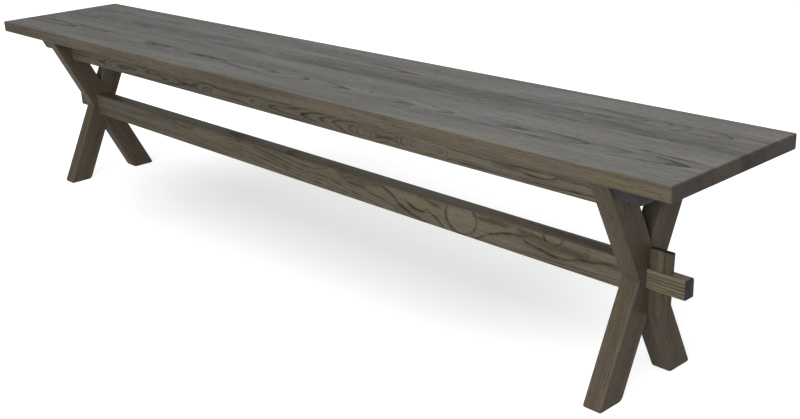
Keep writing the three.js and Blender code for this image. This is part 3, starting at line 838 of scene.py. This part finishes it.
class BENCH_OT_legs(bpy.types.Operator):
    """Makes the four legs, halved into one another in pairs and mortised for the stretcher"""

    bl_idname = "bench.legs"
    bl_label = "Legs"

    def execute(self, context):
        sizes, colours = context.scene.bench_sizes, context.scene.bench_colours
        angle = atan(leg_run(sizes))
        crossing = Vector((0, 0, sizes.crossing_height))
        for end, side in ENDS:
            for foot, lean in (("back", -1), ("front", 1)):
                node = f"{end}_{foot}_leg"
                low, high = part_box(node)
                leg = leaning_bar(lean, low.x, high.x, sizes.leg_width, sizes)
                saw(leg, (0, 0, 0), (0, 0, -1))
                saw(leg, (0, 0, high.z), (0, 0, 1))
                ease(leg, edges_along(leg, 0, 0), sizes.foot_round, steps=6)
                ease(leg, face_rims(leg, 0, (low.x, high.x), high.z), sizes.leg_ease)
                piece = add_object(f"{end}_crossed_leg_{foot}_foot", leg)

                # The crossing stays square, so that the two legs close flush
                diamond = leaning_bar(lean, low.x, high.x, sizes.leg_width, sizes)
                for way in (-1, 1):
                    away = Vector((0, way * cos(angle), way * lean * sin(angle)))
                    saw(diamond, crossing + away * sizes.leg_width / 2, away)
                carve(piece, diamond, "UNION")

                # A leg with its foot at the back is cut on its left half, the other on its right
                half_way = (low.x + high.x) / 2
                low_x, high_x = low.x - CUT_PAST, high.x + CUT_PAST
                lap_x = (low_x, half_way) if lean < 0 else (half_way, high_x)
                lap = leaning_bar(-lean, *lap_x, sizes.leg_width + 2 * sizes.joint_room, sizes)
                half_y = sizes.tenon_thickness / 2 + sizes.joint_room
                half_z = sizes.tenon_height / 2 + sizes.joint_room
                mortise = block((low_x, -half_y, sizes.crossing_height - half_z),
                                (high_x, half_y, sizes.crossing_height + half_z))
                carve(piece, gathered([lap, mortise] + drilled_for_dowels(end)))

                fibres = ((0, lean * sin(angle), cos(angle)), (1, 0, 0))
                timber = brushed_ash(
                    f"{end}_{foot}_leg_brown_ash", colours.leg_pale, colours.leg_dark, fibres,
                    (crossing + Vector((half_way, 0, 0))) / MM, heart=(60 * side, 25 * lean),
                    ring=4.5, line_strength=0.3, wobble=4, streak_strength=0.45,
                    pore_strength=0.72, grain=(34, 2.2), pores=(9, 2.0))
                dress(piece, node, "frame", timber)
        return {"FINISHED"}


def wedge_sides(end, side, sizes):
    """A wedge's inner x, and its outer x at the foot and at the top."""
    low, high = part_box(f"{end}_wedge")
    if side > 0:
        return low.x, high.x - sizes.wedge_slope, high.x
    return high.x, low.x + sizes.wedge_slope, low.x


def tapered_block(inner, outer_low, outer_high, half_y, low_z, high_z):
    """A block whose outer side slopes."""
    shape = block((min(inner, outer_low), -half_y, low_z), (max(inner, outer_low), half_y, high_z))
    top_outer = [vert for vert in shape.verts
                 if abs(vert.co.x - outer_low) < HAIR and abs(vert.co.z - high_z) < HAIR]
    bmesh.ops.translate(shape, verts=top_outer, vec=(outer_high - outer_low, 0, 0))
    return shape


class BENCH_OT_stretcher(bpy.types.Operator):
    """Makes the stretcher, with a shouldered and slotted tenon at each end"""

    bl_idname = "bench.stretcher"
    bl_label = "Stretcher"

    def execute(self, context):
        sizes, colours = context.scene.bench_sizes, context.scene.bench_colours
        low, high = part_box("stretcher")
        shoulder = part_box("right_back_leg")[0].x
        height = sizes.crossing_height

        def bar(end_x, half_y, half_z):
            """A bar along the bench at the height of the crossing."""
            return block((-end_x, -half_y, height - half_z), (end_x, half_y, height + half_z))

        half_y, half_z = sizes.tenon_thickness / 2, sizes.tenon_height / 2
        tenon = bar(high.x, half_y, half_z)
        ease(tenon, edges_along(tenon, 0), sizes.stretcher_ease)
        piece = add_object("wedged_stretcher", tenon)
        for axis, form in (
                (1, bar(high.x, FORM_HALF, half_z)), (2, bar(high.x, half_y, FORM_HALF))):
            ease(form, edges_along(form, axis), sizes.tenon_end_round, steps=8)
            carve(piece, form, "INTERSECT")
        beam = bar(shoulder, high.y, sizes.stretcher_height / 2)
        ease(beam, edges_along(beam, 0), sizes.stretcher_ease)
        carve(piece, beam, "UNION")

        slots = []
        for end, side in ENDS:
            inner, outer_low, outer_high = wedge_sides(end, side, sizes)
            wedge_low, wedge_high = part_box(f"{end}_wedge")
            room = side * sizes.joint_room
            slots.append(tapered_block(
                inner - room - side * SLOT_BEHIND_LEG, outer_low + room, outer_high + room,
                wedge_high.y + sizes.joint_room, wedge_low.z, wedge_high.z))
        carve(piece, gathered(slots))
        # Its shade is painted shade: darker towards the far end and lightest on the near tenon, for
        # the lamps' falloff along the bench
        timber = brushed_ash(
            "stretcher_brown_ash", colours.stretcher_pale, colours.stretcher_dark,
            ALONG_BENCH_FRONT, middle_of("stretcher"), heart=(150, 0), ring=9.0,
            drift=STRETCHER_DRIFT, lines=STRETCHER_LINES, eyes=STRETCHER_EYES, line_strength=0.5,
            patch_strength=0.45, streak_strength=0.4, pore_strength=0.5, grain=(55, 1.8),
            pores=(14, 1.5), wobble=2.0, end_stain=linear("#8691af"), shown_rings=0.65,
            shade=((-1030, 0.65), (-450, 0.67), (0, 0.78), (500, 0.85), (900, 0.87), (960, 1),
                   (1030, 1)))
        dress(piece, "stretcher", "frame", timber)
        return {"FINISHED"}


class BENCH_OT_wedges(bpy.types.Operator):
    """Makes the two loose wedges that draw the frame tight"""

    bl_idname = "bench.wedges"
    bl_label = "Wedges"

    def execute(self, context):
        sizes, colours = context.scene.bench_sizes, context.scene.bench_colours
        for end, side in ENDS:
            node = f"{end}_wedge"
            low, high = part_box(node)
            wedge = tapered_block(*wedge_sides(end, side, sizes), high.y, low.z, high.z)
            ease(wedge, edges_along(wedge, 1), sizes.wedge_corner, steps=5)
            ease(wedge, face_rims(wedge, 1, (low.y, high.y)), sizes.wedge_ease, steps=3)
            piece = add_object(f"{end}_tapered_wedge", wedge)
            timber = brushed_ash(
                f"{end}_wedge_brown_ash", colours.wedge_pale, colours.wedge_dark, UPRIGHT,
                middle_of(node), heart=(-34, -9), ring=7.0, lines=WEDGE_LINES, line_strength=0.5,
                wobble=1.5, patch_strength=0.5, pores=(14, 1.6), band=(-15, -8, 2, "#fff3dc", 0.8),
                end_stain=(0.4, 0.4, 0.42), shade=((-75, 0.8), (-10, 0.82), (15, 1), (75, 1)))
            dress(piece, node, f"wedge_{end}", timber)
        return {"FINISHED"}


class BENCH_OT_screws(bpy.types.Operator):
    """Makes the panhead screws that hold the seat down, with hexagon sockets"""

    bl_idname = "bench.screws"
    bl_label = "Screws"

    def execute(self, context):
        zinc = zinc_plate()
        for node in sorted(named("_screw_")):
            low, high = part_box(node)
            x, y = (low.x + high.x) / 2, (low.y + high.y) / 2
            head, grip = (high.x - low.x) / 2, low.z + SCREW_HEAD_HEIGHT
            profile = [(share * head, low.z + rise) for share, rise in SCREW_DOME] + [
                (head, grip), (SCREW_SHANK_RADIUS, grip),
                (SCREW_SHANK_RADIUS, high.z - SCREW_POINT), (0, high.z)]
            screw = bmesh.new()
            verts = [screw.verts.new((x + radius, y, z)) for radius, z in profile]
            edges = [screw.edges.new(pair) for pair in zip(verts, verts[1:])]
            bmesh.ops.spin(
                screw, geom=verts + edges, cent=(x, y, 0), axis=(0, 0, 1), angle=2 * pi,
                steps=32, use_merge=True)
            bmesh.ops.remove_doubles(screw, verts=screw.verts, dist=HAIR)
            bmesh.ops.recalc_face_normals(screw, faces=screw.faces)
            piece = add_object(node.replace("screw", "panhead"), screw)
            carve(piece, round_room(
                (x, y, low.z - SOCKET_PAST), (x, y, low.z + SOCKET_DEPTH), SOCKET_RADIUS, sides=6))
            dress(piece, node, "frame", zinc)
        return {"FINISHED"}


class BENCH_OT_dowels(bpy.types.Operator):
    """Gives the dowels inside the joints their turned beech finish"""

    bl_idname = "bench.dowels"
    bl_label = "Dowels"

    def execute(self, context):
        beech = turned_beech()
        for name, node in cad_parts.items():
            if "_dowel_" in name:
                node.data.materials.clear()
                node.data.materials.append(beech)
        return {"FINISHED"}


# Stage

CAMERA_PLACE = (1.9475, -1.4613, 0.9741)
CAMERA_YAW, CAMERA_PITCH, CAMERA_ROLL = radians(47.958), radians(19.958), radians(-2.461)
CAMERA_LENS, CAMERA_SENSOR = 50.1156, 36
# The sky's strength and colour as light on the bench
SKY, SKY_HUE = 0.3, (0.92, 0.97, 1.13, 1)
FLOOR_RADIUS = 40
# How much of its white glow the floor keeps near the bench, its colour there under the lamps,
# and its colour as it throws light back
FLOOR_GLOW, FLOOR_LIT, FLOOR_BOUNCE = 0.5, (0.625, 0.605, 0.568, 1), (0.3, 0.3, 0.3, 1)
# Where the floor shows the bench's soft shadow: in full up to these distances from the middle,
# and less and less over the soft reach beyond them
SHADOW_MIDDLE, SHADOW_HALF, SHADOW_SOFT = (0, 0.2, 0), (0.42, 0, 9), (0.95, 1.3, 1)
# Each lamp's name, place, width, depth and share of full light
LAMPS = (
    ("top_softbox", (1.3, -0.8, 2.7), 2.4, 2.0, 0.66),
    ("front_softbox", (2.1, -4.4, 1.8), 3.0, 2.2, 0.7),
)
LAMP_TARGET = (0, 0, 0.3)


def softbox(name, place, width, depth, share):
    """A soft lamp that adds a share of full light to a face turned squarely towards it."""
    place, target = Vector(place), Vector(LAMP_TARGET)
    lamp = bpy.data.lights.new(name, "AREA")
    lamp.shape = "RECTANGLE"
    lamp.size, lamp.size_y = width, depth
    lamp.energy = share * pi * pi * (place - target).length_squared
    holder = bpy.data.objects.new(name, lamp)
    holder.location = place
    holder.rotation_euler = (target - place).to_track_quat("-Z", "Y").to_euler()
    bpy.context.scene.collection.objects.link(holder)


def seen_by_eye(put):
    """Whether a ray comes straight from the camera, or by way of metal or glass."""
    path = put("LightPath")
    seen = path.outputs["Is Camera Ray"]
    for way in ("Is Glossy Ray", "Is Transmission Ray"):
        seen = put("Math", {0: seen, 1: path.outputs[way]}, operation="MAXIMUM")
    return seen


class BENCH_OT_stage(bpy.types.Operator):
    """Lays the white floor and sets the lamps and the camera"""

    bl_idname = "bench.stage"
    bl_label = "Stage"

    def execute(self, context):
        disc = bmesh.new()
        bmesh.ops.create_circle(disc, cap_ends=True, segments=96, radius=FLOOR_RADIUS)
        floor = add_object("studio_floor", disc)
        material, put = new_material("white_studio_floor")
        # To the eye the floor glows white, but less near the bench, whose shadow shows there.
        # From below it is clear.
        beside = put("TexCoord").outputs["Object"]
        for operation, other in (
                ("SUBTRACT", SHADOW_MIDDLE), ("ABSOLUTE", (0, 0, 0)), ("SUBTRACT", SHADOW_HALF),
                ("MAXIMUM", (0, 0, 0)), ("DIVIDE", SHADOW_SOFT), ("LENGTH", (0, 0, 0))):
            beside = put("VectorMath", {0: beside, 1: other}, operation=operation)
        within = put("MapRange", {0: beside.outputs["Value"], 3: 1, 4: 0}, **SOFT)
        strength = put("MapRange", {0: within, 3: 1, 4: FLOOR_GLOW})
        shown = put("AddShader", {
            0: put("Emission", {"Strength": strength}), 1: put("BsdfDiffuse", {0: FLOOR_LIT})})
        above = put("MixShader", {
            0: seen_by_eye(put), 1: put("BsdfDiffuse", {0: FLOOR_BOUNCE}), 2: shown})
        both = put("MixShader", {
            0: put("NewGeometry").outputs["Backfacing"], 1: above, 2: put("BsdfTransparent")})
        put("OutputMaterial", {0: both})
        floor.data.materials.append(material)

        world = bpy.data.worlds.new("white_studio")
        world.use_nodes = True
        world.node_tree.nodes.clear()
        put = partial(add_node, world.node_tree)
        seen = seen_by_eye(put)
        level = put("MapRange", {0: seen, 3: SKY, 4: 1.0})
        hue = put("Mix", {0: seen, 6: SKY_HUE, 7: (1, 1, 1, 1)}, data_type="RGBA").outputs[2]
        put("OutputWorld", {0: put("Background", {"Color": hue, "Strength": level})})
        context.scene.world = world

        for lamp in LAMPS:
            softbox(*lamp)

        lens = bpy.data.cameras.new("bench_camera")
        lens.lens, lens.sensor_width = CAMERA_LENS, CAMERA_SENSOR
        camera = bpy.data.objects.new("bench_camera", lens)
        camera.matrix_world = (
            Matrix.Translation(CAMERA_PLACE) @ Matrix.Rotation(CAMERA_YAW, 4, "Z")
            @ Matrix.Rotation(pi / 2 - CAMERA_PITCH, 4, "X") @ Matrix.Rotation(CAMERA_ROLL, 4, "Z"))
        context.scene.collection.objects.link(camera)
        context.scene.camera = camera
        context.scene.view_settings.view_transform = "Standard"
        return {"FINISHED"}


class BENCH_PT_panel(bpy.types.Panel):
    """Lists the bench's pieces, sizes and colours"""

    bl_idname = "BENCH_PT_panel"
    bl_label = "Wooden bench"
    bl_space_type = "VIEW_3D"
    bl_region_type = "UI"
    bl_category = "Bench"

    def draw(self, context):
        for operator in PIECES:
            self.layout.operator(operator.bl_idname)
        for group in (context.scene.bench_sizes, context.scene.bench_colours):
            column = self.layout.column(align=True)
            for name in group.bl_rna.properties.keys():
                if name not in ("rna_type", "name"):
                    column.prop(group, name)


PIECES = (
    BENCH_OT_seat_boards, BENCH_OT_rails, BENCH_OT_cleats, BENCH_OT_legs, BENCH_OT_stretcher,
    BENCH_OT_wedges, BENCH_OT_screws, BENCH_OT_dowels, BENCH_OT_stage,
)
CLASSES = (BenchSizes, BenchColours) + PIECES + (BENCH_PT_panel,)


def register():
    for each in CLASSES:
        bpy.utils.register_class(each)
    bpy.types.Scene.bench_sizes = PointerProperty(type=BenchSizes)
    bpy.types.Scene.bench_colours = PointerProperty(type=BenchColours)


def unregister():
    del bpy.types.Scene.bench_colours
    del bpy.types.Scene.bench_sizes
    for each in reversed(CLASSES):
        bpy.utils.unregister_class(each)


def main():
    register()
    bpy.ops.bench.seat_boards()
    bpy.ops.bench.rails()
    bpy.ops.bench.cleats()
    bpy.ops.bench.legs()
    bpy.ops.bench.stretcher()
    bpy.ops.bench.wedges()
    bpy.ops.bench.screws()
    bpy.ops.bench.dowels()
    bpy.ops.bench.stage()


if __name__ == "__main__":
    main()
